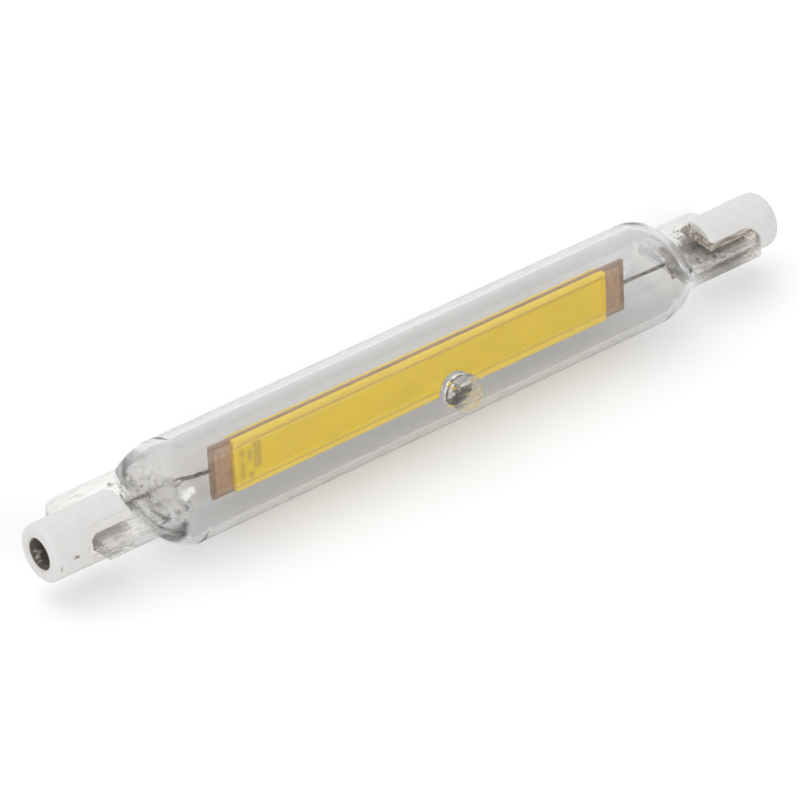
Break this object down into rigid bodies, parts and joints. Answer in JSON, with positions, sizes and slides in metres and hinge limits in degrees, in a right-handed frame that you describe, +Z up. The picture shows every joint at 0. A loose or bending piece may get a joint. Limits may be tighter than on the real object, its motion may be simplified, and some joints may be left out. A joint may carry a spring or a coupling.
{
  "type": "linear led bulb",
  "caption": "Double-ended linear LED bulb: clear glass tube with flat pressed ends, slotted ceramic caps with recessed contacts, and a coated LED strip inside.",
  "frame": {"origin": "middle of the lamp on the axis of its glass tube", "axes": "+X along the lamp towards its right end, +Z up from the surface that the tube lies on, -Y the side that the exhaust tip and the front of the strip face"},
  "size_m": [0.118, 0.0174, 0.014],
  "materials": {
    "clear_glass": "clear, fire polished",
    "cap_ceramic": "matt white unglazed ceramic",
    "cement": "rough fired cement",
    "contact_metal": "dull plated metal",
    "lead_wire": "drawn wire, dark oxide",
    "seal_foil": "rolled foil",
    "board_metal": "bare copper edge, dull",
    "terminal_metal": "bare copper, dull",
    "phosphor": "glossy silicone with yellow phosphor",
    "led_chip": "polished chip",
    "driver_part": "moulded chip package"
  },
  "bodies": {
    "root": {"glass_envelope": "clear_glass", "ceramic_cap_left": "cap_ceramic", "cap_cement_left": "cement", "contact_left": "contact_metal", "outer_lead_left": "lead_wire", "seal_foil_left": "seal_foil", "inner_lead_left": "lead_wire", "end_terminal_left": "terminal_metal", "ceramic_cap_right": "cap_ceramic", "cap_cement_right": "cement", "contact_right": "contact_metal", "outer_lead_right": "lead_wire", "seal_foil_right": "seal_foil", "inner_lead_right": "lead_wire", "end_terminal_right": "terminal_metal", "strip_board": "board_metal", "phosphor_front": "phosphor", "phosphor_back": "phosphor", "led_chips_front": "led_chip", "led_chips_back": "led_chip", "bridge_rectifier": "driver_part", "current_regulators": "driver_part", "chip_resistors": "driver_part"}
  },
  "joints": []
}
